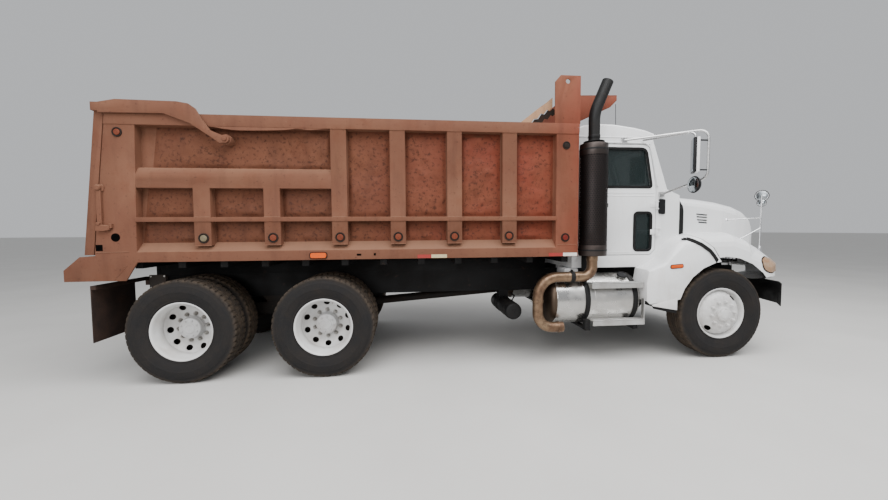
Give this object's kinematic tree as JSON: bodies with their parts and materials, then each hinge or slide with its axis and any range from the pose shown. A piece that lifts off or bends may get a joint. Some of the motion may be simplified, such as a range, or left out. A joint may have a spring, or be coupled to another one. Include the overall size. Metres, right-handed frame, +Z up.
{
  "type": "three-axle dump truck",
  "caption": "White conventional-cab dump truck with a rust-brown ribbed steel dump body, high-lift tailgate and an upright exhaust stack.",
  "frame": {"origin": "on the ground, below the middle of the truck's length and width", "axes": "+X forward, +Y the truck's left side, +Z up"},
  "size_m": [7.854, 2.99, 3.174],
  "materials": {
    "cab_white": "gloss enamel, chalked and dusty",
    "body_brown": "matt paint, scraped and rusted",
    "frame_black": "satin",
    "black_steel": "satin, scuffed",
    "axle_iron": "painted, dirty",
    "wheel_white": "enamel, dusty",
    "tyre_rubber": "dusty",
    "black_rubber": "dusty",
    "bare_aluminium": "brushed, stained",
    "polished_chrome": "polished",
    "exhaust_steel": "heat stained, perforated guard",
    "rusty_pipe": "heat stained and rusted",
    "clear_glass": "clear",
    "interior_plastic": "grained",
    "lamp_plastic": "clear lens with amber corner"
  },
  "bodies": {
    "chassis": {"frame": "frame_black", "front_axle": "axle_iron", "drive_axles": "axle_iron", "suspension": "axle_iron", "engine": "axle_iron", "driveline": "axle_iron", "bumper": "black_steel", "fuel_tanks": "bare_aluminium", "tank_steps": "bare_aluminium", "muffler": "exhaust_steel", "exhaust_pipes": "rusty_pipe", "air_tank": "frame_black", "mud_flaps": "black_rubber", "cab": "cab_white", "cab_glass": "clear_glass", "cab_interior": "interior_plastic", "fender_extensions": "cab_white", "mirrors": "polished_chrome", "hoist_mount": "black_steel"},
    "door_right": {"door_right": "cab_white", "door_right_glass": "clear_glass"},
    "door_left": {"door_left": "cab_white", "door_left_glass": "clear_glass"},
    "hood": {"hood": "cab_white", "grille": "polished_chrome", "headlamps": "lamp_plastic", "hood_mirrors": "polished_chrome"},
    "knuckle_right": {"knuckle_right": "axle_iron"},
    "knuckle_left": {"knuckle_left": "axle_iron"},
    "wheel_front_right": {"front_wheel_right": "wheel_white", "front_tyre_right": "tyre_rubber"},
    "wheel_front_left": {"front_wheel_left": "wheel_white", "front_tyre_left": "tyre_rubber"},
    "wheels_middle_right": {"middle_wheels_right": "wheel_white", "middle_tyres_right": "tyre_rubber"},
    "wheels_middle_left": {"middle_wheels_left": "wheel_white", "middle_tyres_left": "tyre_rubber"},
    "wheels_rear_right": {"rear_wheels_right": "wheel_white", "rear_tyres_right": "tyre_rubber"},
    "wheels_rear_left": {"rear_wheels_left": "wheel_white", "rear_tyres_left": "tyre_rubber"},
    "dump_body": {"bed_floor": "body_brown", "bed_underframe": "body_brown", "bed_front": "body_brown", "bed_side_left": "body_brown", "bed_side_right": "body_brown"},
    "tailgate": {"tailgate": "body_brown"},
    "hoist_barrels": {"hoist_barrels": "black_steel"},
    "hoist_rods": {"hoist_rods": "polished_chrome"}
  },
  "joints": [
    {"name": "wheel_front_right_spin", "type": "hinge", "parent": "knuckle_right", "child": "wheel_front_right", "pos_m": [2.97, -1.028, 0.523], "axis": [0, 1, 0], "continuous": true},
    {"name": "wheel_front_left_spin", "type": "hinge", "parent": "knuckle_left", "child": "wheel_front_left", "pos_m": [2.97, 1.028, 0.523], "axis": [0, 1, 0], "continuous": true},
    {"name": "wheels_middle_right_spin", "type": "hinge", "parent": "chassis", "child": "wheels_middle_right", "pos_m": [-1.551, -0.9125, 0.523], "axis": [0, 1, 0], "continuous": true},
    {"name": "wheels_middle_left_spin", "type": "hinge", "parent": "chassis", "child": "wheels_middle_left", "pos_m": [-1.551, 0.9125, 0.523], "axis": [0, 1, 0], "continuous": true},
    {"name": "wheels_rear_right_spin", "type": "hinge", "parent": "chassis", "child": "wheels_rear_right", "pos_m": [-2.923, -0.9125, 0.523], "axis": [0, 1, 0], "continuous": true},
    {"name": "wheels_rear_left_spin", "type": "hinge", "parent": "chassis", "child": "wheels_rear_left", "pos_m": [-2.923, 0.9125, 0.523], "axis": [0, 1, 0], "continuous": true},
    {"name": "steer_right", "type": "hinge", "parent": "chassis", "child": "knuckle_right", "pos_m": [2.97, -0.878, 0.523], "axis": [0, 0, 1], "range_deg": [-32, 32]},
    {"name": "steer_left", "type": "hinge", "parent": "chassis", "child": "knuckle_left", "pos_m": [2.97, 0.878, 0.523], "axis": [0, 0, 1], "range_deg": [-32, 32]},
    {"name": "door_right_swing", "type": "hinge", "parent": "chassis", "child": "door_right", "pos_m": [2.275, -0.946, 1.6], "axis": [0, 0, 1], "range_deg": [0, 70]},
    {"name": "door_left_swing", "type": "hinge", "parent": "chassis", "child": "door_left", "pos_m": [2.275, 0.946, 1.6], "axis": [0, 0, -1], "range_deg": [0, 70]},
    {"name": "hood_tilt", "type": "hinge", "parent": "chassis", "child": "hood", "pos_m": [3.87, 0, 0.905], "axis": [0, 1, 0], "range_deg": [0, 60]},
    {"name": "bed_tilt", "type": "hinge", "parent": "chassis", "child": "dump_body", "pos_m": [-3.583, 0, 0.98], "axis": [0, -1, 0], "range_deg": [0, 50]},
    {"name": "tailgate_swing", "type": "hinge", "parent": "dump_body", "child": "tailgate", "pos_m": [-2.42, 0, 2.41], "axis": [0, 1, 0], "range_deg": [0, 60]},
    {"name": "hoist_swing", "type": "hinge", "parent": "chassis", "child": "hoist_barrels", "pos_m": [-0.823, 0, 0.8], "axis": [0, -1, 0], "range_deg": [-19, 0]},
    {"name": "hoist_extend", "type": "slide", "parent": "hoist_barrels", "child": "hoist_rods", "axis": [-0.9818, 0, 0.19], "range_m": [0, 0.81]}
  ],
  "couplings": [
    {"joint": "steer_left", "follows": "steer_right", "ratio": 1},
    {"joint": "hoist_swing", "follows": "bed_tilt", "ratio": -0.3754},
    {"joint": "hoist_extend", "follows": "bed_tilt", "m_per_rad": 0.9275}
  ]
}
